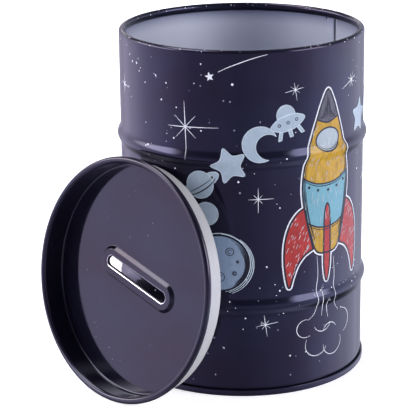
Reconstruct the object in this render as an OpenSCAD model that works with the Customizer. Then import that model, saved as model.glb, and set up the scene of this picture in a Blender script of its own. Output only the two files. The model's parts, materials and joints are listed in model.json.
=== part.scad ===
// Tin money box: a drum-shaped box of printed tinplate with a pressed plug lid.
// Origin at the centre of the drum's foot, +Z up, millimetres.
// The lid is off the drum and leans against its front, towards -Y.

/* [Drum] */
// Outer diameter of the drum's wall
drum_d = 120; // [110:1:130]
// Height of the drum, from its foot to the top of the rolled mouth
drum_h = 170; // [160:1:190]
// Thickness of the tinplate
sheet_t = 0.3; // [0.25:0.05:0.35]
// Outside radius of the curl that is rolled inwards around the mouth
curl_r = 1.65; // [1.4:0.05:1.8]
// Length of the straight stretch on the inside of the mouth curl
mouth_land = 0.8; // [0.5:0.1:1.5]

/* [Swaged beads] */
// Height of the lower bead's centre
lower_bead_z = 45.5; // [35:0.5:55]
// Height of the upper bead's centre
upper_bead_z = 118; // [114:0.5:125]
// Width of a bead, up and down the wall
bead_w = 10; // [8:1:12]
// How far a bead stands out from the wall
bead_out = 1.6; // [1:0.1:2]

/* [Seams] */
// Height of the double seam around the foot
foot_seam_h = 3.1; // [2.8:0.1:3.4]
// Gap left between the folded layers of the double seam
fold_gap = 0.02; // [0.01:0.01:0.05]
// Place of the side seam around the drum, in degrees from +X
side_seam_angle = 85; // [0:1:359]
// Width of the side seam's folded strip
side_seam_w = 5; // [4:0.5:7]
// How far the folded strip stands inside the wall
side_seam_t = 0.6; // [0.5:0.1:1]

/* [Bottom end] */
// Height of the panel's underside above the foot
end_panel_z = 3.4; // [3.2:0.1:5]
// Diameter of the panel's raised middle
end_step_d = 92; // [70:1:100]
// Height of the panel's raised middle
end_step_h = 1; // [0.6:0.1:1.5]

/* [Lid] */
// Clearance all round between the lid's plug and the mouth
plug_gap = 0.5; // [0.3:0.1:0.8]
// Depth of the plug below the middle of the rolled rim
plug_depth = 10.5; // [9:0.1:12]
// Outside radius of the bend at the foot of the plug
plug_bend_r = 1.1; // [0.8:0.1:1.5]
// Outside radius of the lid's rolled rim
rim_r = 1.65; // [1.4:0.05:1.8]

/* [Coin slot] */
// Length of the raised oblong around the slot
oblong_l = 53.2; // [50:0.1:60]
// Width of the raised oblong around the slot
oblong_w = 14.8; // [12:0.1:18]
// Height of the raised oblong
oblong_h = 1.5; // [1:0.1:2]
// Width of the raised oblong's sloping side
oblong_slope = 1.3; // [0.8:0.1:2]
// Length of the coin slot
slot_l = 42.6; // [38:0.1:44]
// Width of the coin slot
slot_w = 4.4; // [4:0.1:6]
// Depth of the flange that is turned down around the slot
slot_flange_h = 1.4; // [1:0.1:2]
// Turn of the slot from level, in degrees
slot_turn = -14; // [-90:1:90]

/* [Leaning lid] */
// Lean of the lid back from upright, in degrees
lean = 10.1; // [9:0.1:12]
// Distance from the drum's axis to the middle of the lid
lid_reach = 80.8; // [80.5:0.1:90]
// How far the lid stands to the side of the drum's middle
lid_side = -0.8; // [-2:0.1:2]

/* [Hidden] */
$fn = 96;

// Steps along one bead, and along one rounded bend
bead_steps = 12;
bend_steps = 4;

// How far a cut runs past the face that it opens, and how far the side seam stops short at each end
overcut = 1;
seam_stop = 1;

wall_r = drum_d / 2;
curl_z = drum_h - curl_r;
land_z = curl_z - mouth_land;
mouth_r = wall_r - 2 * curl_r;
// Direction in which the mouth curl ends, seen from the middle of the curl
curl_end = 300;

// Radii of the double seam's layers, from the wall outwards
layer = sheet_t + fold_gap;
chuck_r = wall_r - layer;
end_hook_r = wall_r + fold_gap;
body_hook_r = wall_r + fold_gap + layer;
seaming_r = wall_r + fold_gap + 2 * layer;
seam_r = seaming_r + sheet_t;
seam_bend_r = 0.45;
// Air left past the free edge of each hook inside the double seam
hook_gap = 0.3;

// Lid: radii of the plug and of the curled rim's centre line
plug_r = mouth_r - plug_gap;
pan_r = plug_r - sheet_t;
rim_centre_r = pan_r + rim_r;
// Direction in which the rim's curl ends, seen from the middle of the curl
rim_end = -120;
panel_z = sheet_t - plug_depth;
lid_z = rim_centre_r * cos(lean) + rim_r;

function arc(x, y, r, from, to, steps) =
    [for (i = [0:steps]) let (a = from + (to - from) * i / steps) [x + r * cos(a), y + r * sin(a)]];

function bead(u) = bead_out * (1 + cos(180 * u)) / 2;

// The wall's two beads, as points from the foot upwards, moved in by the given amount
function beaded_wall(inset) =
    [for (centre = [lower_bead_z, upper_bead_z], i = [0:bead_steps])
        let (u = 2 * i / bead_steps - 1) [wall_r + bead(u) - inset, centre + u * bead_w / 2]];

function reversed(points) = [for (i = [len(points) - 1:-1:0]) points[i]];

// Cross-section of the rolled sheet: hook at the foot, beaded wall, curl at the mouth
module body_section() {
    hook_top = foot_seam_h - layer - hook_gap;
    fold_z = layer;
    outside = concat(
        [[body_hook_r, hook_top], [body_hook_r, fold_z + sheet_t], [wall_r, fold_z + sheet_t]],
        beaded_wall(0),
        arc(wall_r - curl_r, curl_z, curl_r, 0, 180, 3 * bend_steps),
        arc(wall_r - curl_r, land_z, curl_r, 180, curl_end, 2 * bend_steps));
    inside = concat(
        arc(wall_r - curl_r, land_z, curl_r - sheet_t, curl_end, 180, 2 * bend_steps),
        arc(wall_r - curl_r, curl_z, curl_r - sheet_t, 180, 0, 3 * bend_steps),
        reversed(beaded_wall(sheet_t)),
        [[wall_r - sheet_t, fold_z], [body_hook_r + sheet_t, fold_z], [body_hook_r + sheet_t, hook_top]]);
    polygon(concat(outside, inside));
}

// Folded strip of the side seam, standing on the inside of the wall
module side_seam() {
    low = end_panel_z + end_step_h + seam_stop;
    high = land_z - curl_r - seam_stop;
    inner = wall_r - sheet_t - side_seam_t;
    intersection() {
        rotate_extrude()
            polygon(concat(
                [[wall_r - sheet_t / 2, low]],
                beaded_wall(sheet_t / 2),
                [[wall_r - sheet_t / 2, high], [inner, high]],
                reversed(beaded_wall(sheet_t + side_seam_t)),
                [[inner, low]]));
        rotate([0, 0, side_seam_angle])
            translate([wall_r / 2, -side_seam_w / 2, 0])
                cube([wall_r, side_seam_w, drum_h]);
    }
}

module body_shell() {
    color("#1f2140") {
        rotate_extrude() body_section();
        side_seam();
    }
}

// Cross-section of the seamed-on bottom: panel, chuck wall, seaming wall and end hook
module end_section() {
    step_r = end_step_d / 2;
    top = foot_seam_h;
    hook_low = layer + sheet_t + fold_gap + hook_gap;
    polygon(concat(
        [[0, end_panel_z + end_step_h],
         [step_r - end_step_h, end_panel_z + end_step_h],
         [step_r, end_panel_z]],
        arc(chuck_r - sheet_t - seam_bend_r, end_panel_z - seam_bend_r, seam_bend_r, 90, 0, bend_steps),
        arc(chuck_r - sheet_t + seam_bend_r, seam_bend_r, seam_bend_r, 180, 270, bend_steps),
        arc(seam_r - seam_bend_r, seam_bend_r, seam_bend_r, 270, 360, bend_steps),
        arc(seam_r - seam_bend_r, top - seam_bend_r, seam_bend_r, 0, 90, bend_steps),
        arc(end_hook_r + seam_bend_r, top - seam_bend_r, seam_bend_r, 90, 180, bend_steps),
        [[end_hook_r, hook_low],
         [end_hook_r + sheet_t, hook_low],
         [end_hook_r + sheet_t, top - sheet_t],
         [seaming_r, top - sheet_t],
         [seaming_r, sheet_t],
         [chuck_r, sheet_t],
         [chuck_r, end_panel_z + sheet_t],
         [step_r, end_panel_z + sheet_t],
         [step_r - end_step_h, end_panel_z + end_step_h + sheet_t],
         [0, end_panel_z + end_step_h + sheet_t]]));
}

module bottom_end() {
    color("#23253f")
        rotate_extrude() end_section();
}

// Cross-section of the pressed lid: recessed panel, plug wall and rolled rim
module lid_section() {
    inner_bend_r = plug_bend_r - sheet_t;
    bend_r = pan_r - inner_bend_r;
    bend_z = plug_bend_r - plug_depth;
    polygon(concat(
        [[0, panel_z]],
        arc(bend_r, bend_z, inner_bend_r, -90, 0, bend_steps),
        arc(rim_centre_r, 0, rim_r, 180, rim_end, 5 * bend_steps),
        arc(rim_centre_r, 0, rim_r - sheet_t, rim_end, 180, 5 * bend_steps),
        arc(bend_r, bend_z, plug_bend_r, 0, -90, bend_steps),
        [[0, -plug_depth]]));
}

// Oblong with round ends and sloping sides, standing on z = 0
module raised_oblong() {
    end_r = oblong_w / 2;
    half_l = oblong_l / 2 - end_r;
    for (side = [-1, 1])
        translate([side * half_l, 0, 0])
            cylinder(h = oblong_h, r1 = end_r, r2 = end_r - oblong_slope);
    rotate([90, 0, 90])
        linear_extrude(2 * half_l, center = true)
            polygon([
                [-end_r, 0], [end_r, 0],
                [end_r - oblong_slope, oblong_h], [oblong_slope - end_r, oblong_h]]);
}

// Straight-sided oblong with round ends, standing on z = 0
module slot_block(length, width, height) {
    for (side = [-1, 1])
        translate([side * (length - width) / 2, 0, 0])
            cylinder(h = height, d = width);
    translate([(width - length) / 2, -width / 2, 0])
        cube([length - width, width, height]);
}

// Turns what it holds to the slot's own direction, at the given height on the lid
module at_slot(z) {
    rotate([0, 0, slot_turn])
        translate([0, 0, z])
            children();
}

// The lid in its own frame: rim centred on the origin, recessed face towards +Z
module pressed_lid() {
    flange_z = panel_z + oblong_h - slot_flange_h;
    difference() {
        union() {
            rotate_extrude() lid_section();
            at_slot(panel_z) raised_oblong();
        }
        at_slot(-plug_depth) raised_oblong();
        at_slot(-plug_depth - overcut) slot_block(slot_l, slot_w, plug_depth);
    }
    difference() {
        at_slot(flange_z) slot_block(slot_l + 2 * sheet_t, slot_w + 2 * sheet_t, slot_flange_h);
        at_slot(flange_z - overcut) slot_block(slot_l, slot_w, slot_flange_h + 2 * overcut);
    }
}

module lid() {
    color("#2a2b48")
        translate([lid_side, -lid_reach, lid_z])
            rotate([90 - lean, 0, 0])
                pressed_lid();
}

body_shell();
bottom_end();
lid();
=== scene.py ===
import json
import math
import random

import bmesh
import bpy
from mathutils import Matrix, Vector


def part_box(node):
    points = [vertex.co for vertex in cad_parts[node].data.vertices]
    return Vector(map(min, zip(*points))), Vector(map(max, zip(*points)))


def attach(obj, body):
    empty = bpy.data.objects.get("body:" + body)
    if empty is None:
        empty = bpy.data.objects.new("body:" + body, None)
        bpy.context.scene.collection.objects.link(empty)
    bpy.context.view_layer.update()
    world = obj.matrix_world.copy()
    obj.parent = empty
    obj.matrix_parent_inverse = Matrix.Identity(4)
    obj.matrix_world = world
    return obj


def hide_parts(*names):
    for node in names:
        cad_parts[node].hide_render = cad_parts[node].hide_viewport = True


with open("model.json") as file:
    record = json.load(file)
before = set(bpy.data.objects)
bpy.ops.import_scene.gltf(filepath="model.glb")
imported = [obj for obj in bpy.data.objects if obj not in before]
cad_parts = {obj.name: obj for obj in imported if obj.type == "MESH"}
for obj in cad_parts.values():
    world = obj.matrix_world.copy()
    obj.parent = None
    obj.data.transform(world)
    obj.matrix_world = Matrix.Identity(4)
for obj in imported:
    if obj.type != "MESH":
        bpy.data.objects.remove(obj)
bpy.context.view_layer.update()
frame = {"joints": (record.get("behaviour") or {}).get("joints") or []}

scene = bpy.context.scene

# ------ sizes, in millimetres
MM = 0.001
SHEET = 0.3

BEAD_OUT = 1.6
BEAD_W = 10.0
BEAD_Z = (45.5, 118.0)
CURL_R = 1.65
MOUTH_LAND = 0.8
CURL_END = 300.0

shell_low, shell_high = (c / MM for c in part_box("body_shell"))
WALL_R = shell_high.x - BEAD_OUT
DRUM_H = shell_high.z
CURL_Z = DRUM_H - CURL_R
LAND_Z = CURL_Z - MOUTH_LAND

SEAM_TURN = 85.0
STRIP_W = 5.0
STRIP_T = 0.6
GROOVE_T = 0.22

FOOT_H = 3.1
FOLD_GAP = 0.02
END_Z = 3.4
END_STEP_R = 46.0
END_STEP_H = 1.0

PLUG_GAP = 0.5
PLUG_DEPTH = 10.5
PLUG_BEND_R = 1.1
RIM_R = 1.65
PAN_R = WALL_R - 2 * CURL_R - PLUG_GAP - SHEET
RIM_CENTRE_R = PAN_R + RIM_R

OBLONG_L = 53.2
OBLONG_W = 14.8
OBLONG_H = 1.5
OBLONG_SLOPE = 1.3
SLOT_L = 42.6
SLOT_W = 4.4
FLANGE_H = 1.4
SLOT_TURN = -14.0

# The lid's own frame: its recessed face looks along the joint's axis
lid_normal = Vector(frame["joints"][0]["axis"]).normalized()
lean = math.asin(lid_normal.z)
lid_low, lid_high = (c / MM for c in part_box("lid"))
LID_CENTRE = Vector((
    (lid_low.x + lid_high.x) / 2,
    lid_low.y + RIM_CENTRE_R * math.sin(lean) + RIM_R,
    (lid_low.z + lid_high.z) / 2))
LID_PLACE = Matrix.Translation(LID_CENTRE * MM) @ Matrix.Rotation(math.pi / 2 - lean, 4, "X")

# ------ camera
CAM_AZIMUTH = math.radians(44.70)
CAM_ELEVATION = math.radians(16.65)
CAM_DISTANCE = 925.15
CAM_ROLL = math.radians(-0.632)
CAM_LENS = 161.94
# Where the middle of the picture falls, right of and above the drum's middle
CAM_AIM = (-18.70, -6.47)


def make_camera():
    """The fitted camera, CAM_DISTANCE from the drum's middle and aimed off it by CAM_AIM."""
    back = Vector((
        math.sin(CAM_AZIMUTH) * math.cos(CAM_ELEVATION),
        -math.cos(CAM_AZIMUTH) * math.cos(CAM_ELEVATION),
        math.sin(CAM_ELEVATION)))
    middle = Vector((0, 0, DRUM_H / 2))
    place = middle + back * CAM_DISTANCE
    right = Vector((0, 0, 1)).cross(back).normalized()
    up = back.cross(right)
    aim = middle + right * CAM_AIM[0] + up * CAM_AIM[1]
    back = (place - aim).normalized()
    right = Vector((0, 0, 1)).cross(back).normalized()
    up = back.cross(right)
    rolled_right = right * math.cos(CAM_ROLL) + up * math.sin(CAM_ROLL)
    rolled_up = up * math.cos(CAM_ROLL) - right * math.sin(CAM_ROLL)
    data = bpy.data.cameras.new("camera")
    data.lens = CAM_LENS
    data.sensor_width = 36
    data.clip_start = 0.01
    camera = bpy.data.objects.new("camera", data)
    scene.collection.objects.link(camera)
    axes = Matrix((rolled_right, rolled_up, back)).transposed().to_4x4()
    camera.matrix_world = Matrix.Translation(place * MM) @ axes
    scene.camera = camera


# ------ mesh helpers
# Places of the materials on a tin piece
NAVY, PALE, BARE_HIGHLIGHT = 0, 1, 2


def arc(x, z, r, start, stop, steps):
    """Points along an arc, angles in degrees."""
    turns = [math.radians(start + (stop - start) * i / steps) for i in range(steps + 1)]
    return [(x + r * math.cos(a), z + r * math.sin(a)) for a in turns]


def bead(z):
    """How far the wall stands out at height z."""
    for middle in BEAD_Z:
        u = (z - middle) / (BEAD_W / 2)
        if abs(u) < 1:
            return BEAD_OUT * (1 + math.cos(math.pi * u)) / 2
    return 0.0


def wall_heights(low, high):
    """Heights along the wall, close together on the beads."""
    stops = [low]
    for middle in BEAD_Z:
        stops += [middle + BEAD_W / 2 * (i / 12 - 1) for i in range(25)]
    plain = [low + (high - low) * i / 40 for i in range(1, 40)]
    inside = [z for z in plain if all(abs(z - m) > BEAD_W / 2 + 0.5 for m in BEAD_Z)]
    return sorted(stops + inside) + [high]


def add_object(name, mesh, body, materials, place=None):
    """Makes an object of a mesh in metres, smooth, riding on a body."""
    if place is not None:
        mesh.transform(place)
    for material in materials:
        mesh.materials.append(material)
    mesh.polygons.foreach_set("use_smooth", [True] * len(mesh.polygons))
    mesh.update()
    piece = bpy.data.objects.new(name, mesh)
    scene.collection.objects.link(piece)
    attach(piece, body)
    return piece


def mesh_of_rings(name, rings, inks, closed=True):
    """Quads between rings of equally many points; inks gives the material of each band."""
    count = len(rings[0])
    points = [Vector(p) * MM for ring in rings for p in ring]
    faces, bands = [], []
    last = len(rings) if closed else len(rings) - 1
    for i in range(last):
        j = (i + 1) % len(rings)
        for k in range(count):
            m = (k + 1) % count
            faces.append((i * count + k, i * count + m, j * count + m, j * count + k))
            bands.append(inks[i])
    mesh = bpy.data.meshes.new(name)
    mesh.from_pydata(points, [], faces)
    mesh.polygons.foreach_set("material_index", bands)
    return mesh


def outward(mesh):
    """Turns all faces of a closed mesh outwards."""
    work = bmesh.new()
    work.from_mesh(mesh)
    bmesh.ops.recalc_face_normals(work, faces=work.faces)
    work.to_mesh(mesh)
    work.free()
    return mesh


def close_ends(mesh, rings, count, inks):
    """Closes the first and last ring with a fan around a middle point."""
    work = bmesh.new()
    work.from_mesh(mesh)
    every = list(work.verts)
    for start, colour in ((0, inks[0]), ((rings - 1) * count, inks[1])):
        rim = every[start:start + count]
        middle = sum((v.co for v in rim), Vector()) / count
        centre = work.verts.new(middle)
        for k in range(count):
            face = work.faces.new((rim[k], rim[(k + 1) % count], centre))
            face.material_index = colour
    work.to_mesh(mesh)
    work.free()


# ------ materials
# The blue-violet cast of light mirrored in the varnish, and how it drifts over the sheet
SHEEN_TINT = (0.58, 0.57, 1.0)
COOL_DRIFT = (1.04, 1.10, 1.05)
WARM_DRIFT = (1.03, 0.90, 0.82)
# Painted shade under the mouth: the lacquer darkens to this tint where the curl keeps the light off the
# wall inside
MOUTH_SHADE_TINT = (0.40, 0.42, 0.52)


def shaded(colour, factors):
    """A colour with each channel multiplied."""
    return tuple(c * f for c, f in zip(colour, factors))


def new_material(name):
    """A node material with its nodes, its links and its shader."""
    material = bpy.data.materials.new(name)
    material.use_nodes = True
    nodes = material.node_tree.nodes
    return material, nodes, material.node_tree.links, nodes["Principled BSDF"]


def noise(nodes, links, scale, detail=3.0, roughness=0.55, stretch=None):
    """A noise texture in the object's own space; stretch scales it along X, Y and Z."""
    place = nodes.new("ShaderNodeTexCoord")
    texture = nodes.new("ShaderNodeTexNoise")
    texture.inputs["Scale"].default_value = scale
    texture.inputs["Detail"].default_value = detail
    texture.inputs["Roughness"].default_value = roughness
    source = place.outputs["Object"]
    if stretch:
        mapping = nodes.new("ShaderNodeMapping")
        mapping.inputs["Scale"].default_value = stretch
        links.new(source, mapping.inputs["Vector"])
        source = mapping.outputs["Vector"]
    links.new(source, texture.inputs["Vector"])
    return texture.outputs["Fac"]


def ramp(nodes, links, source, low, high, start, stop, smooth=False):
    """Maps a factor between low and high onto start to stop."""
    node = nodes.new("ShaderNodeMapRange")
    node.interpolation_type = "SMOOTHSTEP" if smooth else "LINEAR"
    node.clamp = True
    for key, value in (("From Min", low), ("From Max", high), ("To Min", start), ("To Max", stop)):
        node.inputs[key].default_value = value
    links.new(source, node.inputs["Value"])
    return node.outputs["Result"]


def maths(nodes, links, operation, *inputs):
    """A math node; each input is a number or a socket."""
    node = nodes.new("ShaderNodeMath")
    node.operation = operation
    for socket, value in zip(node.inputs, inputs):
        if isinstance(value, (int, float)):
            socket.default_value = value
        else:
            links.new(value, socket)
    return node.outputs[0]


def mix_colour(nodes, links, factor, first, second):
    """Mixes two colours, each a tuple or a socket."""
    node = nodes.new("ShaderNodeMix")
    node.data_type = "RGBA"
    links.new(factor, node.inputs["Factor"])
    for socket, colour in ((node.inputs[6], first), (node.inputs[7], second)):
        if isinstance(colour, tuple):
            socket.default_value = (*colour, 1)
        else:
            links.new(colour, socket)
    return node.outputs[2]


def add_bump(nodes, links, shader, layers):
    """Chains bump nodes; each layer is a height socket and a distance in metres."""
    normal = None
    for height, distance in layers:
        bump = nodes.new("ShaderNodeBump")
        bump.inputs["Strength"].default_value = 1.0
        bump.inputs["Distance"].default_value = distance
        links.new(height, bump.inputs["Height"])
        if normal:
            links.new(normal, bump.inputs["Normal"])
        normal = bump.outputs["Normal"]
    links.new(normal, shader.inputs["Normal"])


def tin_paint(name, colour, gloss=0.11, sheen=SHEEN_TINT):
    """Glossy stoved paint on tinplate: mottled colour, fine orange peel, faint rubbing marks."""
    material, nodes, links, shader = new_material(name)
    cloud = noise(nodes, links, 38.0)
    lighter = tuple(c * 1.5 for c in colour)
    mottled = mix_colour(nodes, links, ramp(nodes, links, cloud, 0.35, 0.7, 0, 1), colour, lighter)
    links.new(mottled, shader.inputs["Base Color"])
    rubbed = noise(nodes, links, 70.0, 6.0, 0.7)
    links.new(ramp(nodes, links, rubbed, 0.35, 0.75, gloss - 0.02, gloss + 0.06),
              shader.inputs["Roughness"])
    shader.inputs["IOR"].default_value = 1.5
    drift = ramp(nodes, links, noise(nodes, links, 22.0, 3.0, 0.55, (0.7, 0.7, 1.5)), 0.38, 0.62, 0, 1)
    cool, warm = shaded(sheen, COOL_DRIFT), shaded(sheen, WARM_DRIFT)
    links.new(mix_colour(nodes, links, drift, cool, warm), shader.inputs["Specular Tint"])
    add_bump(nodes, links, shader, (
        (noise(nodes, links, 26.0, 1.0), 0.00008),
        (noise(nodes, links, 900.0, 2.0), 0.000003)))
    return material


def white_lacquer(name, colour, metal=0.5, gloss=0.3, mouth_shade=None):
    """Pale lacquer baked onto tinplate: slightly metallic, faintly cloudy.

    The last argument gives two heights: between them the colour deepens upwards into painted shade, the
    shade that the curled mouth casts on the wall inside."""
    material, nodes, links, shader = new_material(name)
    cloud = noise(nodes, links, 30.0, 4.0, 0.6)
    darker = tuple(c * 0.95 for c in colour)
    tone = mix_colour(nodes, links, ramp(nodes, links, cloud, 0.3, 0.7, 0, 1), colour, darker)
    # Painted shade: darker towards the mouth, where the curl keeps the light off
    if mouth_shade:
        place = nodes.new("ShaderNodeTexCoord")
        axes = nodes.new("ShaderNodeSeparateXYZ")
        links.new(place.outputs["Object"], axes.inputs[0])
        shade_share = ramp(nodes, links, axes.outputs["Z"], mouth_shade[0] * MM, mouth_shade[1] * MM, 0, 1, True)
        tone = mix_colour(nodes, links, shade_share, tone, shaded(colour, MOUTH_SHADE_TINT))
    links.new(tone, shader.inputs["Base Color"])
    grain = noise(nodes, links, 18.0, 2.0, 0.5)
    links.new(ramp(nodes, links, grain, 0.3, 0.7, gloss - 0.03, gloss + 0.05), shader.inputs["Roughness"])
    shader.inputs["Metallic"].default_value = metal
    add_bump(nodes, links, shader, (
        (noise(nodes, links, 24.0, 1.0), 0.00006),
        (noise(nodes, links, 700.0, 2.0), 0.000003)))
    return material


def ink(name, colour, gloss=0.24, grain=0.14):
    """Printing ink under varnish: hand-coloured unevenness that follows short strokes."""
    material, nodes, links, shader = new_material(name)
    stroke = noise(nodes, links, 420.0, 5.0, 0.75, (1, 1, 0.35))
    darker = tuple(c * (1 - 2 * grain) for c in colour)
    links.new(mix_colour(nodes, links, ramp(nodes, links, stroke, 0.32, 0.66, 0, 1), colour, darker),
              shader.inputs["Base Color"])
    links.new(ramp(nodes, links, noise(nodes, links, 120.0), 0.3, 0.7, gloss - 0.05, gloss + 0.06),
              shader.inputs["Roughness"])
    shader.inputs["Specular IOR Level"].default_value = 0.3
    add_bump(nodes, links, shader, ((noise(nodes, links, 900.0, 2.0), 0.000005),))
    return material


paint_drum = tin_paint("navy_print", (0.0024, 0.0024, 0.0064))
paint_lid = tin_paint("navy_lid", (0.0034, 0.0032, 0.0078), gloss=0.07, sheen=(0.70, 0.69, 0.95))
paint_end = tin_paint("navy_end", (0.0024, 0.0023, 0.0060))
LIP_Z = LAND_Z - CURL_R
# The inside lacquer carries painted shade under the curled mouth
lacquer = white_lacquer("inside_lacquer", (0.68, 0.71, 0.79), metal=0.7, gloss=0.35,
                        mouth_shade=(LIP_Z - 7.5, LIP_Z + 1.5))
lid_lacquer = white_lacquer("lid_lacquer", (0.345, 0.35, 0.36), metal=0.15, gloss=0.36)
# The print is worn off the roll of the slot's edge, down to bright tinplate, and this bright ring also
# stands in as a painted highlight along the slot's edge
worn_tin_highlight = white_lacquer("worn_tin_highlight", (0.72, 0.72, 0.76), metal=1.0, gloss=0.22)
# Dark paint for the painted shadow beside the side seam inside
seam_shadow = tin_paint("seam_shadow", (0.012, 0.012, 0.030), gloss=0.3)

WHITE_INK = ink("ink_white", (0.62, 0.65, 0.70), grain=0.06)
FAINT_INK = ink("ink_faint", (0.20, 0.21, 0.30), grain=0.1)
TICK_INK = ink("ink_tick", (0.44, 0.45, 0.49), grain=0.1)
PALE_INK = ink("ink_pale_blue", (0.275, 0.345, 0.415), grain=0.05)
PALE_EDGE_INK = ink("ink_pale_edge", (0.42, 0.51, 0.58), grain=0.05)
MOON_INK = ink("ink_moon", (0.175, 0.24, 0.345), grain=0.08)
LINE_INK = ink("ink_line", (0.008, 0.009, 0.02), grain=0.1)
RED_INK = ink("ink_red", (0.34, 0.025, 0.021), grain=0.2)
YELLOW_INK = ink("ink_yellow", (0.43, 0.255, 0.018), grain=0.22)
BLUE_INK = ink("ink_sky_blue", (0.112, 0.275, 0.345), grain=0.07)
GREY_INK = ink("ink_grey", (0.09, 0.09, 0.12), grain=0.3)
GLASS_INK = ink("ink_glass", (0.285, 0.34, 0.385), grain=0.08)


# ------ the drum
def seam_shift(offset):
    """How far the folded side seam stands inside the wall, offset millimetres from its middle."""
    edge = STRIP_W / 2 - abs(offset)
    return STRIP_T * min(max(edge / 0.25 + 0.5, 0), 1)


def groove_shift(offset):
    """Depth of the closed fold's line on the outside."""
    return GROOVE_T * math.exp(-(offset / 0.28) ** 2)


def drum_angles():
    """Angles around the drum in degrees, close together at the side seam."""
    step = math.degrees(0.12 / WALL_R)
    near = [SEAM_TURN + i * step for i in range(-34, 35)]
    far = [i * 1.0 for i in range(360) if abs(i - SEAM_TURN) > 35 * step]
    return sorted(near + far)


def make_drum():
    """The wall with its beads, side seam and curled mouth, navy outside and lacquered inside."""
    low = FOLD_GAP + 0.6
    outer = [(WALL_R + bead(z), z, NAVY, "outer") for z in wall_heights(low, CURL_Z)]
    curl = arc(WALL_R - CURL_R, CURL_Z, CURL_R, 0, 180, 20)[1:]
    under = arc(WALL_R - CURL_R, LAND_Z, CURL_R, 180, CURL_END, 10)
    lip = arc(WALL_R - CURL_R, LAND_Z, CURL_R - SHEET, CURL_END, 180, 10)
    back = arc(WALL_R - CURL_R, CURL_Z, CURL_R - SHEET, 180, 0, 16)
    heights = reversed(wall_heights(low, CURL_Z - 0.2))
    inner = [(WALL_R + bead(z) - SHEET, z, PALE, "inner") for z in heights]
    profile = outer + [(r, z, NAVY, "") for r, z in curl + under]
    profile += [(r, z, PALE, "") for r, z in lip + back] + inner
    rings = []
    strip_top = LIP_Z - 0.6
    for r, z, _, side in profile:
        ring = []
        for turn in drum_angles():
            offset = math.radians(turn - SEAM_TURN) * WALL_R
            shift = 0.0
            if side == "outer":
                shift = groove_shift(offset)
            if side == "inner" and END_Z + 2 < z < strip_top:
                shift = seam_shift(offset)
            a = math.radians(turn)
            ring.append(((r - shift) * math.cos(a), (r - shift) * math.sin(a), z))
        rings.append(ring)
    mesh = outward(mesh_of_rings("drum_wall", rings, [p[2] for p in profile]))
    wall = add_object("drum_wall", mesh, "drum", [paint_drum, lacquer])
    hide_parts("body_shell")


def make_end():
    """The pressed bottom, with the double seam that hooks around the wall's foot."""
    layer = SHEET + FOLD_GAP
    chuck = WALL_R - layer
    outer = WALL_R + 3 * layer
    hook = WALL_R + FOLD_GAP
    bend = 0.45
    low = arc(chuck - SHEET - bend, END_Z - bend, bend, 90, 0, 6)
    low += arc(chuck - SHEET + bend, bend, bend, 180, 270, 6)
    low += arc(outer - bend, bend, bend, 270, 360, 6)
    low += arc(outer - bend, FOOT_H - bend, bend, 0, 90, 6)
    low += arc(hook + 0.08, FOOT_H - 0.08, 0.08, 90, 180, 3)
    low += [(hook, 1.2), (chuck + 0.05, 1.2)]
    step = [(END_STEP_R, END_Z + SHEET), (END_STEP_R - END_STEP_H, END_Z + SHEET + END_STEP_H)]
    rise = [(r, z - SHEET) for r, z in reversed(step)]
    top = [(chuck, END_Z + SHEET)] + step
    under = [(0.4, END_Z + END_STEP_H)] + rise
    over = [(0.4, END_Z + SHEET + END_STEP_H)]
    profile = under + low + top + over
    lacquered = len(profile) - len(top) - len(over)
    inks = [PALE if i >= lacquered - 1 else NAVY for i in range(len(profile))]
    turns = [math.radians(i * 1.5) for i in range(240)]
    rings = [[(r * math.cos(a), r * math.sin(a), z) for a in turns] for r, z in profile]
    mesh = mesh_of_rings("drum_bottom", rings, inks, closed=False)
    close_ends(mesh, len(rings), len(turns), (NAVY, PALE))
    piece = add_object("drum_bottom", outward(mesh), "drum", [paint_end, lacquer])
    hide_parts("bottom_end")


# ------ the lid
LID_POINTS = 480
# The roll of the slot's edge: its radius and steps, and the step that is worn bare and also serves as its
# painted highlight
SLOT_EDGE_R = 1.2
SLOT_EDGE_STEPS = 6
WORN_HIGHLIGHT_STEP = 4


def oblong_ring(length, width, z):
    """A ring with round ends around the slot, points evenly spread by their share of the outline."""
    r = width / 2
    half = length / 2 - r
    straight = LID_POINTS // 3
    cap = (LID_POINTS - 2 * straight) // 2
    points = []
    for i in range(straight):
        points.append((half - 2 * half * i / straight, r))
    for i in range(cap):
        a = math.pi / 2 + math.pi * i / cap
        points.append((-half + r * math.cos(a), r * math.sin(a)))
    for i in range(straight):
        points.append((-half + 2 * half * i / straight, -r))
    for i in range(cap):
        a = -math.pi / 2 + math.pi * i / cap
        points.append((half + r * math.cos(a), r * math.sin(a)))
    turn = Matrix.Rotation(math.radians(SLOT_TURN), 2)
    return [(*(turn @ Vector(p)), z) for p in points]


def round_ring(r, z):
    """A circle whose points lie in the same directions as the oblong's."""
    guide = oblong_ring(OBLONG_L, OBLONG_W, 0)
    return [(r * x / math.hypot(x, y), r * y / math.hypot(x, y), z) for x, y, _ in guide]


def between(first, second, share):
    """A ring part of the way from one ring to another."""
    return [tuple(a + (b - a) * share for a, b in zip(p, q)) for p, q in zip(first, second)]


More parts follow.
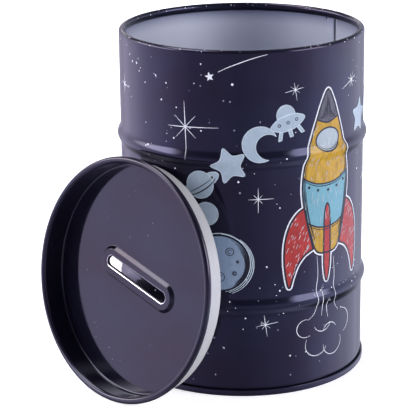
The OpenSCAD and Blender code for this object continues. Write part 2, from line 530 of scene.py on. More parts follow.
def pressed_side(floor, sign):
    """Rings from the slot's top edge out to the pan wall, on one face of the sheet."""
    top = floor + OBLONG_H
    edge = 0.3
    rings = []
    for i in range(SLOT_EDGE_STEPS + 1):
        a = math.radians(90 * i / SLOT_EDGE_STEPS)
        grow = SLOT_EDGE_R * (1 - math.cos(a)) + (0 if sign > 0 else SHEET)
        drop = SLOT_EDGE_R * (1 - math.sin(a))
        rings.append(oblong_ring(SLOT_L + 2 * grow, SLOT_W + 2 * grow, top - drop))
    crest_l, crest_w = OBLONG_L - 2 * OBLONG_SLOPE, OBLONG_W - 2 * OBLONG_SLOPE
    for extra, drop in ((-2.4, 0), (-1.0, 0), (-0.5, 0.01), (-0.2, 0.06), (0.05, 0.16), (0.3, 0.36)):
        rings.append(oblong_ring(crest_l + extra, crest_w + extra, top - drop))
    for extra, rise in ((-0.3, 0.36), (-0.05, 0.16), (0.2, 0.06), (0.5, 0.01), (1.0, 0), (2.4, 0)):
        rings.append(oblong_ring(OBLONG_L + extra, OBLONG_W + extra, floor + rise))
    foot = rings[-1]
    rim = round_ring(PAN_R - PLUG_BEND_R - edge, floor)
    for i in range(1, 12):
        rings.append(between(foot, rim, i / 12))
    rings.append(rim)
    return rings


def make_lid():
    """The pressed plug lid: panel, oblong, slot with its flange, pan wall, rolled rim and plug."""
    floor = SHEET - PLUG_DEPTH
    bend = PAN_R + SHEET - PLUG_BEND_R
    bend_z = PLUG_BEND_R - PLUG_DEPTH
    face = pressed_side(floor, 1)
    pan = arc(bend, bend_z, PLUG_BEND_R - SHEET, -90, 0, 8)
    pan += [(PAN_R, bend_z + 0.3), (PAN_R, -4.0), (PAN_R, -0.3)]
    rim = arc(RIM_CENTRE_R, 0, RIM_R, 180, -120, 40)
    inside_rim = arc(RIM_CENTRE_R, 0, RIM_R - SHEET, -120, 180, 30)
    plug = [(PAN_R + SHEET, -0.4), (PAN_R + SHEET, -4.0), (PAN_R + SHEET, bend_z + 0.3)]
    plug += arc(bend, bend_z, PLUG_BEND_R, 0, -90, 8)
    back = list(reversed(pressed_side(-PLUG_DEPTH, -1)))
    low = floor + OBLONG_H - FLANGE_H
    flange = [oblong_ring(SLOT_L + 2 * SHEET, SLOT_W + 2 * SHEET, low + 0.1)]
    flange += [oblong_ring(SLOT_L + SHEET, SLOT_W + SHEET, low), oblong_ring(SLOT_L, SLOT_W, low + 0.1)]
    navy = face + [round_ring(r, z) for r, z in pan + rim]
    white = [round_ring(r, z) for r, z in inside_rim + plug] + back + flange
    inks = [NAVY] * len(navy) + [PALE] * (len(white) - 2) + [NAVY] * 2
    # Worn tinplate all round the slot's roll, bright enough to serve as the roll's painted highlight
    inks[WORN_HIGHLIGHT_STEP] = BARE_HIGHLIGHT
    mesh = outward(mesh_of_rings("lid_pressing", navy + white, inks))
    lid = add_object("lid_pressing", mesh, "lid", [paint_lid, lid_lacquer, worn_tin_highlight], LID_PLACE)
    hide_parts("lid")


# ------ printing
# The printed picture is laid out flat: s runs around the drum from the middle of the picture,
# to the right, and z up the wall, both in millimetres. Above the wall z runs on over the curl.
PRINT_TURN = CAM_AZIMUTH - math.pi / 2
AROUND = 2 * math.pi * WALL_R
SEAM_S = WALL_R * (math.radians(SEAM_TURN) - PRINT_TURN)
LIFT = 0.03
LAYER = 0.02
CUT = 1.5
FINE = 0.45


def on_wall(s, z, lift):
    """Place and direction of a print point on the drum."""
    a = PRINT_TURN + s / WALL_R
    if z <= CURL_Z:
        slope = (bead(z + 0.01) - bead(z - 0.01)) / 0.02
        out, rise = 1 / math.hypot(1, slope), -slope / math.hypot(1, slope)
        r, height = WALL_R + bead(z), z
    else:
        t = (z - CURL_Z) / CURL_R
        out, rise = math.cos(t), math.sin(t)
        r, height = WALL_R - CURL_R + CURL_R * out, CURL_Z + CURL_R * rise
    r, height = r + lift * out, height + lift * rise
    place = Vector((r * math.cos(a), r * math.sin(a), height)) * MM
    return place, Vector((out * math.cos(a), out * math.sin(a), rise))


def on_inside(s, z, lift):
    """Place and direction of a point on the drum's inner face."""
    place, direction = on_wall(s, z, -SHEET - lift)
    return place, -direction


def on_lid(x, y, lift):
    """Place and direction of a print point on the lid's recessed panel."""
    return LID_PLACE @ (Vector((x, y, SHEET - PLUG_DEPTH + lift)) * MM), lid_normal


def spaced(points, closed=False, step=FINE):
    """The same line with points no further apart than step."""
    out = []
    ends = points + [points[0]] if closed else points
    for (x, z), (u, w) in zip(ends, ends[1:]):
        parts = max(1, math.ceil(math.hypot(u - x, w - z) / step))
        out += [(x + (u - x) * i / parts, z + (w - z) * i / parts) for i in range(parts)]
    return out if closed else out + [points[-1]]


def curve(points, closed=False, steps=7):
    """A smooth line through the points."""
    count = len(points)
    out = []
    for i in range(count if closed else count - 1):
        if closed:
            four = [points[(i + k) % count] for k in (-1, 0, 1, 2)]
        else:
            four = [points[min(max(i + k, 0), count - 1)] for k in (-1, 0, 1, 2)]
        for step in range(steps):
            u = step / steps
            share = (-u ** 3 + 2 * u ** 2 - u, 3 * u ** 3 - 5 * u ** 2 + 2,
                     -3 * u ** 3 + 4 * u ** 2 + u, u ** 3 - u ** 2)
            out.append(tuple(sum(w * q[axis] for w, q in zip(share, four)) / 2 for axis in (0, 1)))
    return out if closed else out + [points[-1]]


def circle(r, start=0.0, stop=360.0, squeeze=1.0):
    """Points of a circle or an arc; squeeze flattens it."""
    steps = max(8, int(abs(stop - start) * r / 40))
    closed = abs(stop - start) >= 360
    count = steps if closed else steps + 1
    turns = [math.radians(start + (stop - start) * i / steps) for i in range(count)]
    return [(r * math.cos(a), r * squeeze * math.sin(a)) for a in turns]


def placed(points, s, z, turn=0.0, size=1.0):
    """Moves a flat outline to its place on the print, turned in degrees."""
    c, q = math.cos(math.radians(turn)) * size, math.sin(math.radians(turn)) * size
    return [(s + c * x - q * y, z + q * x + c * y) for x, y in points]


def mirrored(points):
    """The same outline on the other side of its middle line."""
    return [(-x, y) for x, y in reversed(points)]


def inside(x, z, outline):
    """Whether a point lies inside an outline."""
    hit = False
    for (a, b), (c, d) in zip(outline, outline[1:] + outline[:1]):
        if (b > z) != (d > z) and x < a + (c - a) * (z - b) / (d - b):
            hit = not hit
    return hit


def taper(width):
    """Width of a pen stroke that thins out to its far end."""
    return lambda share: width * (1 - 0.7 * share ** 1.5)


def swell(width):
    """Width of a pen stroke that is thin at both ends."""
    return lambda share: width * (0.45 + 0.55 * math.sin(math.pi * share))


class Print:
    """Flat shapes of one ink, wrapped onto the metal as one thin mesh."""

    def __init__(self, name, material, layer):
        self.name, self.material, self.lift = name, material, LIFT + LAYER * layer
        self.mesh = bmesh.new()

    def fill(self, outline):
        """A filled outline, cut finely enough to follow the wall."""
        work = bmesh.new()
        face = work.faces.new([work.verts.new((x, z, 0)) for x, z in outline])
        face.normal_update()
        bmesh.ops.triangulate(work, faces=[face], ngon_method="EAR_CLIP")
        heights = [z for _, z in outline]
        places = [s for s, _ in outline]
        cuts = [(Vector((CUT * i, 0, 0)), (1, 0, 0))
                for i in range(math.floor(min(places) / CUT) + 1, math.ceil(max(places) / CUT))]
        cuts += [(Vector((0, z, 0)), (0, 1, 0)) for z in wall_heights(FOOT_H, CURL_Z)
                 if min(heights) < z < max(heights)]
        for at, normal in cuts:
            parts = work.verts[:] + work.edges[:] + work.faces[:]
            bmesh.ops.bisect_plane(work, geom=parts, plane_co=at, plane_no=normal, dist=1e-5)
        self.join(work)

    def join(self, work):
        """Adds a flat mesh to this print, facing outwards."""
        work.normal_update()
        made = {v: self.mesh.verts.new(v.co) for v in work.verts}
        for face in work.faces:
            corners = [made[v] for v in face.verts]
            if face.normal.z < 0:
                corners.reverse()
            self.mesh.faces.new(corners)
        work.free()

    def stroke(self, points, width, closed=False):
        """A pen line; width is a number or a function of the share along it."""
        points = spaced(points, closed)
        count = len(points)
        work = bmesh.new()
        sides = []
        for i, (x, z) in enumerate(points):
            before = points[i - 1] if i or closed else points[0]
            after = points[(i + 1) % count] if i < count - 1 or closed else points[-1]
            along = Vector((after[0] - before[0], after[1] - before[1])).normalized()
            half = (width(i / (count - 1)) if callable(width) else width) / 2
            across = Vector((-along.y, along.x)) * half
            sides.append((work.verts.new((x + across.x, z + across.y, 0)),
                          work.verts.new((x - across.x, z - across.y, 0))))
        for i in range(count if closed else count - 1):
            a, b = sides[i], sides[(i + 1) % count]
            work.faces.new((a[0], a[1], b[1], b[0]))
        self.join(work)

    def dot(self, s, z, r):
        """A small round dot."""
        work = bmesh.new()
        middle = work.verts.new((s, z, 0))
        edge = [work.verts.new((x, y, 0)) for x, y in placed(circle(r), s, z)]
        for a, b in zip(edge, edge[1:] + edge[:1]):
            work.faces.new((middle, a, b))
        self.join(work)

    def hatch(self, outline, count, angle, length, width, dice, covered=()):
        """Short pen ticks scattered inside an outline, off the covered ones."""
        xs, zs = [p[0] for p in outline], [p[1] for p in outline]
        made = 0
        for _ in range(count * 6):
            x, z = dice.uniform(min(xs), max(xs)), dice.uniform(min(zs), max(zs))
            a = math.radians(angle + dice.uniform(-10, 10))
            reach = length * dice.uniform(0.5, 1.2) / 2
            dx, dz = reach * math.cos(a), reach * math.sin(a)
            if any(inside(x + k * dx, z + k * dz, other) for other in covered for k in (-1, 1)):
                continue
            if all(inside(x + k * dx, z + k * dz, outline) for k in (-1.5, 0, 1.5)):
                self.stroke([(x - dx, z - dz), (x + dx, z + dz)], swell(width * dice.uniform(0.7, 1.2)))
                made += 1
            if made == count:
                break

    def finish(self, wrap=on_wall, body="drum", slot="printed_tin"):
        """Wraps the print onto the metal, shaded as smoothly as the face under it."""
        directions = []
        if wrap is on_inside:
            bmesh.ops.reverse_faces(self.mesh, faces=self.mesh.faces[:])
        for v in self.mesh.verts:
            v.co, direction = wrap(v.co.x, v.co.y, self.lift)
            directions.append(direction)
        mesh = bpy.data.meshes.new(self.name)
        self.mesh.to_mesh(mesh)
        self.mesh.free()
        add_object(self.name, mesh, body, [self.material])
        mesh.normals_split_custom_set_from_vertices(directions)


def ray_star(pen, s, z, long_rays, short_ray, width, turn=0.0):
    """An eight-rayed star of pen strokes: long rays up, right, down and left, short ones between."""
    for i in range(8):
        a = math.radians(90 - 45 * i + turn)
        reach = short_ray if i % 2 else long_rays[i // 2]
        end = (s + reach * math.cos(a), z + reach * math.sin(a))
        pen.stroke([(s, z), end], taper(width * (0.8 if i % 2 else 1)))


def star_outline(r, waist=0.5, points=5):
    """A pointed star; waist is the share of the radius between its points."""
    half = math.pi / points
    return [(r * (waist if i % 2 else 1) * math.sin(half * i),
             r * (waist if i % 2 else 1) * math.cos(half * i)) for i in range(2 * points)]


def crescent(r, bite=0.72, shift=0.5):
    """A crescent moon, open to the right."""
    reach = math.acos((1 + shift ** 2 - bite ** 2) / (2 * shift))
    inner = math.pi - math.acos((bite ** 2 + shift ** 2 - 1) / (2 * bite * shift))
    out = [reach + (2 * math.pi - 2 * reach) * i / 30 for i in range(31)]
    back = [2 * math.pi - inner - (2 * math.pi - 2 * inner) * i / 22 for i in range(1, 22)]
    points = [(r * math.cos(a), r * math.sin(a)) for a in out]
    return points + [(r * (shift + bite * math.cos(a)), r * bite * math.sin(a)) for a in back]


def make_pens():
    """One pen for each ink and layer; a higher layer covers a lower one."""
    inks = (
        ("dots", WHITE_INK, 0), ("faint_dots", FAINT_INK, 0), ("stars", WHITE_INK, 1),
        ("border", WHITE_INK, 2), ("pale", PALE_INK, 3), ("moon", MOON_INK, 3),
        ("red", RED_INK, 4), ("yellow", YELLOW_INK, 3), ("blue", BLUE_INK, 4), ("grey", GREY_INK, 4),
        ("glass", GLASS_INK, 5), ("front_red", RED_INK, 6), ("edge", PALE_EDGE_INK, 5),
        ("line", LINE_INK, 7), ("tick", TICK_INK, 8))
    return {name: Print("print_" + name, material, layer) for name, material, layer in inks}


def print_specks(pens, dice):
    """Fine dots all over the wall and the curl, a little clustered."""
    clusters, curl_dots = 104, 150
    for _ in range(clusters):
        s, z = dice.uniform(0, AROUND), dice.uniform(FOOT_H + 6, CURL_Z + CURL_R)
        for _ in range(dice.randint(2, 9)):
            x, y = s + dice.gauss(0, 9), z + dice.gauss(0, 9)
            if not FOOT_H + 1 < y < CURL_Z + 2.2 * CURL_R or abs((x - SEAM_S) % AROUND) < 3:
                continue
            pen = pens["dots"] if dice.random() < 0.6 else pens["faint_dots"]
            pen.dot(x, y, abs(dice.gauss(0.2, 0.1)) + 0.12)
    for _ in range(curl_dots):
        pen = pens["dots"] if dice.random() < 0.6 else pens["faint_dots"]
        s, round_curl = dice.uniform(0, AROUND), dice.uniform(0.3, 2.9)
        pen.dot(s, CURL_Z + CURL_R * round_curl, dice.uniform(0.16, 0.36))


def print_stars(pens):
    """The rayed stars, and a shooting star with its tail."""
    pen = pens["stars"]
    ray_star(pen, -27.4, 133.0, (12.5, 16.5, 15.5, 9.5), 7.5, 0.44, 2)
    ray_star(pen, 25.6, 150.5, (3.4, 4.6, 5.2, 5.4), 2.8, 0.3, 10)
    ray_star(pen, 7.5, 99.0, (5.6, 7.6, 6.6, 4.6), 3.0, 0.34)
    ray_star(pen, 62.9, 149.5, (3.4, 5.0, 3.6, 9.0), 3.8, 0.42, 20)
    ray_star(pen, 83.0, 97.0, (5.0, 5.0, 5.5, 5.0), 3.0, 0.34, 8)
    ray_star(pen, 10.9, 36.2, (5.0, 6.4, 6.0, 4.4), 2.8, 0.34, 8)
    pen.fill(placed(star_outline(2.3, 0.42), -15.0, 157.8, 12))
    tail = [(-11.0, 160.1), (-6.5, 162.3), (-0.6, 164.6), (5.5, 166.6), (12.0, 168.2)]
    pen.stroke(curve(tail), swell(0.4))


def pale_shape(pens, outline, s, z, turn=0.0):
    """A pale blue motif with a thin lighter edge."""
    shape = placed(outline, s, z, turn)
    pens["pale"].fill(shape)
    pens["edge"].stroke(shape, 0.32, closed=True)


def print_motifs(pens):
    """Pale blue motifs: an arc of them on the front, and a row further round to the right."""
    ringed_planet(pens, -20.2, 105.6, 6.6, 34)
    pale_shape(pens, curve(star_outline(8.8, 0.58), True, 4), -6.0, 115.6, 20)
    pale_shape(pens, crescent(8.4), 8.4, 125.8, -20)
    saucer(pens, 21.8, 135.6, 16)
    pale_shape(pens, circle(5.6), -17.0, 91.6)
    pale_shape(pens, curve(star_outline(8.6, 0.6), True, 4), 73.0, 130.0, -8)
    pale_shape(pens, crescent(9.4), 91.0, 131.0, -30)
    pale_shape(pens, circle(7.4), 106.0, 126.0)
    pale_shape(pens, curve(star_outline(7.6, 0.56), True, 4), 119.0, 119.5, 14)


def ringed_planet(pens, s, z, r, turn):
    """A planet with the two ears of its ring, and the ring's front drawn across it."""
    ball = circle(r, 0, 180) + circle(r, 180, 360)[1:-1]
    pale_shape(pens, ball, s, z, turn)
    for tip in (1, -1):
        ear = [(tip * x, y) for x, y in circle(1.62 * r, -52, 52, 0.34)]
        ear += [(tip * x, y) for x, y in reversed(circle(1.22 * r, -38, 38, 0.22))]
        pale_shape(pens, ear, s, z, turn)
    pens["line"].stroke(placed(circle(1.36 * r, 205, 335, 0.34), s, z, turn), swell(0.6))
    pens["line"].stroke(placed(circle(1.1 * r, 206, 334, 0.12), s, z, turn), swell(0.4))


def saucer(pens, s, z, turn):
    """A little flying saucer with a dome and three feet."""
    size = 0.86
    thirds = (-5.2, 0, 5.2)
    hull = curve([(-10.4, -0.6), (-5.6, 2.9), (0, 3.8), (5.6, 2.9), (10.4, -0.6), (5.8, -4.0), (0, -4.9),
                  (-5.8, -4.0)], True, 6)
    feet = []
    for x in thirds:
        toe = x * 1.35
        feet.append([(x - 1.0, -4.4), (x + 1.0, -4.4), (toe + 1.0, -8.8), (toe - 1.0, -8.8)])
    dome = placed(circle(5.4, 0, 180, 1.15), 0, 3.4)
    for shape in feet + [dome, hull]:
        pale_shape(pens, placed(shape, 0, 0, 0, size), s, z, turn)
    for x in thirds:
        spot = placed(placed(circle(0.8), x, -0.4), 0, 0, 0, size)
        pens["line"].stroke(placed(spot, s, z, turn), 0.35, True)


def print_moon(pens):
    """A cratered moon with loose rings scribbled round its right edge."""
    s, z, r = -10.6, 67.6, 13.6
    pens["moon"].fill(placed(circle(r), s, z))
    for i in range(5):
        ring = placed(circle(r - 0.2 - 0.75 * i, -66 + 3 * i, 76 - 9 * i), s + 0.4 * i, z - 0.2 * i)
        pens["line"].stroke(ring, swell(0.42))
    for i in range(3):
        bow = circle(r + 0.8 + 0.35 * i, -80 + 4 * i, 88 - 16 * i)
        ring = placed(bow, s + 0.45 * i, z - 0.3 * i)
        pens["edge"].stroke(ring, swell(0.42))
    pens["edge"].stroke(placed(circle(r + 0.9, 40, 150), s, z + 0.2), swell(0.45))
    pens["line"].stroke(placed(circle(r), s, z), 0.45, True)
    craters = ((4.6, 5.8, 1.9), (6.8, -5.0, 1.0), (-0.4, -7.0, 2.4), (-4.0, 3.0, 2.8), (8.2, 0.8, 0.6))
    for x, y, size in craters:
        pens["line"].stroke(placed(circle(size), s + x, z + y), 0.34, True)
        pens["line"].stroke(placed(circle(size * 0.5, 20, 300), s + x, z + y), 0.32)


# ------ the rocket
# The middle line of the rocket on the print
ROCKET_S = 44.4
# The right side of the rocket's body, from its tip down
FLANK = [(3.6, 143.0), (6.9, 134.6), (9.6, 127.0), (12.0, 119.0), (14.2, 110.0), (14.9, 102.0),
         (14.2, 94.0), (12.4, 86.0), (9.6, 76.5), (6.4, 69.4)]
NOSE_LINE = curve([(6.9, 134.6), (0, 132.4), (-6.9, 134.6)])
# The lines above and below the body's middle
WAIST = curve([(14.6, 107.0), (7.6, 103.6), (0, 102.6), (-7.6, 103.6), (-14.6, 107.0)])
TUCK = curve([(-12.0, 84.6), (-6.4, 81.9), (0, 81.0), (6.4, 81.9), (12.0, 84.6)])


def rocket_shapes():
    """The rocket's outlines, drawn about its own middle line."""
    body = curve([(0, 148.4)] + FLANK + [(0, 68.0)] + mirrored(FLANK), True)
    nose = curve([(0, 148.4), (3.6, 143.0), (6.9, 134.6)]) + NOSE_LINE[1:]
    nose += curve([(-6.9, 134.6), (-3.6, 143.0), (0, 148.4)])[1:-1]
    side = curve([(12.0, 84.6), (14.2, 94.0), (14.9, 102.0), (14.6, 107.0)])
    middle = WAIST + mirrored(side)[1:-1] + TUCK + side[1:-1]
    fin = curve([(13.4, 92.6), (17.6, 90.2), (21.6, 84.6), (24.0, 76.0), (24.3, 66.0), (22.9, 56.0),
                 (21.4, 53.6), (19.8, 58.4), (17.2, 64.6), (13.2, 69.0), (8.6, 71.2)])
    fin += curve([(8.6, 71.2), (10.8, 79.0), (12.6, 86.6), (13.4, 92.6)])[1:-1]
    keel = curve([(0, 92.6), (1.7, 88.0), (2.1, 76.0), (2.0, 64.0), (1.1, 57.0), (-0.2, 53.8), (-1.5, 57.4),
                  (-2.1, 64.0), (-2.1, 76.0), (-1.7, 88.0)], True)
    return body, nose, middle, fin, keel


def on_rocket(points):
    """Moves an outline from the rocket's own middle line to its place on the print."""
    return placed(points, ROCKET_S, 0)


def draw_rocket_lines(line, dice):
    """The pen lines inside the rocket: seams, rivets, shading and the hatched nose."""
    line.stroke(on_rocket(WAIST), 0.7)
    line.stroke(on_rocket([(x, y - 1.1) for x, y in WAIST]), swell(0.5))
    line.stroke(on_rocket(TUCK), 0.75)
    line.stroke(on_rocket([(x * 0.98, y - 1.2) for x, y in TUCK]), swell(0.45))
    line.stroke(on_rocket(NOSE_LINE), 0.7)
    for x in (-11.2, -6.0, 0.4, 6.4, 11.4):
        y = 99.2 + 3.4 * (x / 12) ** 2
        line.fill(placed(circle(0.75), ROCKET_S + x, y))
    for side in (-1, 1):
        for i in range(3):
            edge = [(side * (x - 0.9 - 0.55 * i), y - dice.uniform(0, 2)) for x, y in FLANK[3 + i:9]]
            line.stroke(on_rocket(curve(edge)), swell(0.4))
    for i in range(16):
        x = -5.6 + 11.2 * i / 15
        top = 147.6 - abs(x) * 2.1
        lean_in = dice.uniform(-0.6, 0.6)
        low = 134.2 + dice.uniform(0, 1.4)
        line.stroke(on_rocket([(x * 0.35 + lean_in, top - 1.0), (x, low)]), swell(0.34))


def print_rocket(pens, dice):
    """A plain three-finned rocket, coloured by hand and outlined in white."""
    body, nose, middle, fin, keel = rocket_shapes()
    outlines = [body, fin, mirrored(fin), keel]
    for outline in outlines:
        pens["border"].stroke(on_rocket(outline), 2.3, closed=True)
    window_z = 124.2
    pane = placed(circle(7.4, 0, 360, 0.76), 0, window_z)
    for pen, shape in (("yellow", body), ("grey", nose), ("blue", middle), ("red", fin),
                       ("red", mirrored(fin)), ("front_red", keel), ("glass", pane)):
        pens[pen].fill(on_rocket(shape))
    line = pens["line"]
    for outline in outlines:
        line.stroke(on_rocket(outline), 0.9, closed=True)
    line.stroke(on_rocket(pane), 0.75, closed=True)
    line.stroke(on_rocket(placed(circle(6.4, 200, 330, 0.7), 0, 124.0)), swell(0.4))
    draw_rocket_lines(line, dice)
    tick = pens["tick"]
    for outline in (fin, mirrored(fin)):
        tick.hatch(on_rocket(outline), 44, 62, 2.6, 0.26, dice)
    window = placed(circle(8.4, 0, 360, 0.8), 0, window_z)
    covered = [on_rocket(shape) for shape in (middle, nose, keel, window)]
    tick.hatch(on_rocket(body), 70, 78, 2.2, 0.24, dice, covered)
    tick.hatch(on_rocket(middle), 26, 86, 4.2, 0.2, dice)


def print_exhaust(pens):
    """Thin exhaust lines under the rocket and curling smoke."""
    pen = pens["stars"]
    s = ROCKET_S
    lines = (
        [(-6.2, 67.0), (-5.6, 58.0), (-6.6, 50.0), (-6.2, 42.0), (-8.2, 37.6), (-11.6, 35.4)],
        [(-3.0, 51.0), (-3.4, 46.0), (-2.6, 41.0), (-3.2, 36.0)],
        [(0.6, 45.0), (0.2, 40.0), (1.0, 34.6)],
        [(4.6, 65.0), (5.4, 56.0), (4.8, 48.0), (5.6, 41.0), (8.6, 36.4)])
    for line in lines:
        pen.stroke(curve([(s + x, z) for x, z in line]), swell(0.34))
    puffs = ((-12.6, 31.4, 5.0, 80, 300), (-6.0, 22.4, 6.8, 150, 335), (4.6, 20.4, 6.4, 175, 385),
             (10.6, 29.8, 7.2, -70, 80), (-2.4, 33.0, 5.4, 200, 345), (2.6, 27.0, 4.6, 20, 170))
    for x, z, r, start, stop in puffs:
        pen.stroke(placed(circle(r, start, stop, 0.92), s + x, z), swell(0.36))


def print_far_side(pens, dice):
    """The sky goes on round the back: planets, moons and stars of the same kinds."""
    planet_s, planet_z, planet_r = 176.0, 92.0, 12.6
    pens["border"].stroke(placed(circle(planet_r + 0.6), planet_s, planet_z), 1.3, closed=True)
    pens["yellow"].fill(placed(circle(planet_r), planet_s, planet_z))
    for y in (5.0, -1.0, -6.5):
        x = math.sqrt(planet_r ** 2 - y ** 2)
        belt = curve([(-x, y), (-4, y - 1.4), (4, y - 1.6), (x, y)])
        pens["line"].stroke(placed(belt, planet_s, planet_z), swell(0.5))
    pens["line"].stroke(placed(circle(planet_r), planet_s, planet_z), 0.45, closed=True)
    pens["tick"].hatch(placed(circle(planet_r - 0.6), planet_s, planet_z), 50, 20, 2.6, 0.24, dice)
    ringed_planet(pens, 226.0, 126.0, 9.5, -22)
    ringed_planet(pens, 108.0, 66.0, 9.0, 18)
    pale_shape(pens, crescent(11.0), 204.0, 56.0, 25)
    pale_shape(pens, crescent(9.0), 268.0, 58.0, 155)
    pale_shape(pens, curve(star_outline(8.4, 0.56), True, 4), 246.0, 92.0, 10)
    pale_shape(pens, curve(star_outline(6.4, 0.56), True, 4), 294.0, 104.0, -12)
    pale_shape(pens, circle(6.8), 156.0, 131.0)
    pen = pens["stars"]
    for s, z, size in ((126.0, 152.0, 0.6), (152.0, 62.0, 0.55), (196.0, 144.0, 1.0), (222.0, 82.0, 0.5),
                       (240.0, 30.0, 0.6), (262.0, 146.0, 0.55), (288.0, 74.0, 0.6), (92.0, 34.0, 0.55),
                       (176.0, 26.0, 0.5), (112.0, 98.0, 0.5), (304.0, 146.0, 0.5)):
        rays = [size * dice.uniform(8, 13) for _ in range(4)]
        ray_star(pen, s, z, rays, size * 6, 0.3 + 0.25 * size, dice.uniform(-15, 15))


def draw_inner_seam():
    """Painted shadow and painted highlight by the folded side seam inside: a dark strip along one side of
    the seam's strip with a white line beyond it, and a dark dot near the top on the strip's other side.
    """
    low, high = END_Z + 2, LAND_Z - CURL_R * 0.9
    edge = SEAM_S - STRIP_W / 2
    # Painted shadow, where the seam's lap would shade the wall
    seam_shade_pen = Print("seam_painted_shadow", seam_shadow, 0)
    seam_shade_pen.stroke([(edge - 0.7, low), (edge - 0.7, high)], 1.2)
    seam_shade_pen.dot(SEAM_S + STRIP_W / 2 + 0.4, high - 0.8, 0.8)
    seam_shade_pen.finish(on_inside, "drum", "inside_lacquer")
    # Painted highlight in white ink, beside the painted shadow
    highlight_pen = Print("seam_painted_highlight", WHITE_INK, 0)
    highlight_pen.stroke([(edge - 1.7, low), (edge - 1.7, high)], 0.6)
    highlight_pen.finish(on_inside, "drum", "inside_lacquer")


def print_lid_specks(dice):
    """A few faint dots on the lid's panel, clear of the oblong."""
    pen = Print("print_lid_dots", FAINT_INK, 0)
    for _ in range(26):
        a, r = dice.uniform(0, 2 * math.pi), PAN_R * 0.9 * math.sqrt(dice.random())
        x, y = r * math.cos(a), r * math.sin(a)
        if abs(x) > OBLONG_L / 2 + 2 or abs(y) > OBLONG_W + 2:
            pen.dot(x, y, dice.uniform(0.14, 0.3))
    pen.finish(on_lid, "lid", "lid_tin")


def make_prints():
    """All the printing; the dice are seeded, so each run scatters it the same."""
    dice = random.Random(12)
    pens = make_pens()
    print_specks(pens, dice)
    print_stars(pens)
    print_motifs(pens)
    print_moon(pens)
    print_rocket(pens, dice)
    print_exhaust(pens)
    print_far_side(pens, dice)
    for pen in pens.values():
        pen.finish()
    print_lid_specks(dice)
    draw_inner_seam()


# ------ studio
def make_studio():
    """A plain pale floor."""
    floor_mesh = bpy.data.meshes.new("floor")
    half = 4.0
    floor_mesh.from_pydata([(-half, -half, 0), (half, -half, 0), (half, half, 0), (-half, half, 0)],
                           [], [(0, 1, 2, 3)])
    floor = bpy.data.objects.new("floor", floor_mesh)
    scene.collection.objects.link(floor)
    material, _, _, shader = new_material("floor_white")
    shader.inputs["Base Color"].default_value = (0.9, 0.9, 0.9, 1)
    shader.inputs["Roughness"].default_value = 0.8
    shader.inputs["Emission Color"].default_value = (1, 1, 1, 1)
    shader.inputs["Emission Strength"].default_value = 0.55
    floor_mesh.materials.append(material)
    floor.visible_glossy = False


# Brightness of the studio around the tin: angle to the right of the camera's side, and level
STUDIO = (
    (-180, 0.5), (-157, 0.8), (-132, 1.9), (-116, 2.3), (-84, 2.15), (-72, 1.8), (-60, 1.35), (-46, 0.88),
    (-22, 0.75), (0, 0.65), (16, 0.8), (32, 1.05), (48, 1.2), (60, 1.6), (76, 2.3), (94, 2.6), (108, 2.4),
    (122, 1.95), (137, 1.6), (157, 0.8), (180, 0.5))
LEFT_TINT = (0.80, 0.74, 1.0)
RIGHT_TINT = (0.76, 0.77, 1.0)
# The studio is darker overhead and under the table's edge: heights of the sky, and the strengths there
CEILING = (0.08, 0.45, 1.0, 0.25)
UNDER = (-0.64, -0.30, 0.08, 1.0)
# On the camera's side it is never weaker than this: degrees to each side, and the strengths there
IN_FRONT = (75, 115, 0.62, 0.0)
# Soft boxes: middle in degrees right of the camera, half width where full and where gone,
# heights of the sky where it begins, is full, begins to fade and ends, and strength
SOFT_BOXES = (
    (-94, 20, 36, 0.15, 0.34, 0.50, 0.70, 6.0),
    (-84, 10, 20, 0.26, 0.34, 0.42, 0.54, 3.0),
    (-108, 20, 56, 0.74, 0.84, 0.94, 0.99, 7.5),
    (68, 13, 24, 0.10, 0.27, 0.52, 0.70, 7.5),
    (-160, 20, 32, 0.16, 0.24, 0.34, 0.44, 0.9))
BOX_TINT = (1, 0.97, 0.97, 1)


def along(nodes, links, place, direction):
    """How far the looked-at place of the sky lies along a direction."""
    dot = nodes.new("ShaderNodeVectorMath")
    dot.operation = "DOT_PRODUCT"
    dot.inputs[1].default_value = direction
    links.new(place.outputs["Generated"], dot.inputs[0])
    return dot.outputs["Value"]


def studio_walls(nodes, links, angle):
    """The colour of the studio's walls all round, eased between the stops of STUDIO."""
    glow = nodes.new("ShaderNodeValToRGB")
    glow.color_ramp.interpolation = "EASE"
    stops = glow.color_ramp.elements
    while len(stops) < len(STUDIO):
        stops.new(0.5)
    for stop, (degrees, level) in zip(stops, STUDIO):
        tint = LEFT_TINT if degrees < 0 else RIGHT_TINT
        stop.position = (degrees + 180) / 360
        stop.color = (*(level * part for part in tint), 1)
    links.new(ramp(nodes, links, angle, -math.pi, math.pi, 0, 1), glow.inputs["Fac"])
    return glow.outputs["Color"]


def studio_heights(nodes, links, angle, height):
    """How strong the walls are at each height."""
    open_sky = ramp(nodes, links, height, *CEILING)
    above_table = ramp(nodes, links, height, *UNDER, smooth=True)
    full, gone, near, far = IN_FRONT
    sideways = maths(nodes, links, "ABSOLUTE", angle)
    in_front = ramp(nodes, links, sideways, math.radians(full), math.radians(gone), near, far, True)
    lit_table = maths(nodes, links, "MAXIMUM", above_table, in_front)
    return maths(nodes, links, "MULTIPLY", open_sky, lit_table)


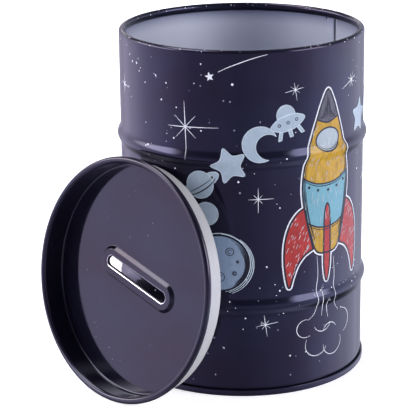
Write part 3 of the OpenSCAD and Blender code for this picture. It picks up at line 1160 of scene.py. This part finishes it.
def soft_box(nodes, links, angle, height, box):
    """One soft box's strength over the sky, faded out to all sides."""
    middle, full, gone, begin, whole, fade, end, strength = box
    away = maths(nodes, links, "SUBTRACT", angle, math.radians(middle))
    turned = maths(nodes, links, "ABSOLUTE", away)
    aside = maths(nodes, links, "MINIMUM", turned, maths(nodes, links, "SUBTRACT", 2 * math.pi, turned))
    width = ramp(nodes, links, aside, math.radians(full), math.radians(gone), strength, 0, True)
    rise = ramp(nodes, links, height, begin, whole, 0, 1, True)
    drop = ramp(nodes, links, height, fade, end, 1, 0, True)
    return maths(nodes, links, "MULTIPLY", width, maths(nodes, links, "MULTIPLY", rise, drop))


def make_world():
    """The soft studio that the tin mirrors: walls all round, and soft boxes added to them."""
    world = bpy.data.worlds.new("studio")
    scene.world = world
    world.use_nodes = True
    nodes, links = world.node_tree.nodes, world.node_tree.links
    room = nodes["Background"]
    place = nodes.new("ShaderNodeTexCoord")
    s, c = math.sin(CAM_AZIMUTH), math.cos(CAM_AZIMUTH)
    to_right, to_camera = along(nodes, links, place, (c, s, 0)), along(nodes, links, place, (s, -c, 0))
    angle = maths(nodes, links, "ARCTAN2", to_right, to_camera)
    height = along(nodes, links, place, (0, 0, 1))
    links.new(studio_walls(nodes, links, angle), room.inputs["Color"])
    links.new(studio_heights(nodes, links, angle, height), room.inputs["Strength"])
    total = 0.0
    for box in SOFT_BOXES:
        total = maths(nodes, links, "ADD", soft_box(nodes, links, angle, height, box), total)
    boxes = nodes.new("ShaderNodeBackground")
    boxes.inputs["Color"].default_value = BOX_TINT
    links.new(total, boxes.inputs["Strength"])
    both = nodes.new("ShaderNodeAddShader")
    links.new(room.outputs[0], both.inputs[0])
    links.new(boxes.outputs[0], both.inputs[1])
    links.new(both.outputs[0], nodes["World Output"].inputs["Surface"])


def area_light(name, place, size, power):
    """A lamp turned to the tin's middle and left out of its reflections."""
    data = bpy.data.lights.new(name, "AREA")
    data.shape = "RECTANGLE"
    data.size, data.size_y = size, size
    data.energy = power
    light = bpy.data.objects.new(name, data)
    scene.collection.objects.link(light)
    light.location = place
    target = Vector((0, 0, 0.09))
    light.rotation_euler = (target - place).to_track_quat("-Z", "Y").to_euler()
    light.visible_glossy = False


def around_camera(azimuth, elevation, distance):
    """A place seen from the object, azimuth in degrees to the right of the camera's side."""
    a = CAM_AZIMUTH + math.radians(azimuth)
    e = math.radians(elevation)
    return Vector((math.sin(a) * math.cos(e), -math.cos(a) * math.cos(e), math.sin(e))) * distance


def make_lights():
    """Two fills, to the left and right of the camera."""
    for name, azimuth in (("left_fill", -84), ("right_fill", 71)):
        area_light(name, around_camera(azimuth, 40, 1.5), 0.8, 1)


# ------ everything
make_camera()
make_drum()
make_end()
make_lid()
make_prints()
make_studio()
make_world()
make_lights()
scene.view_settings.view_transform = "Standard"
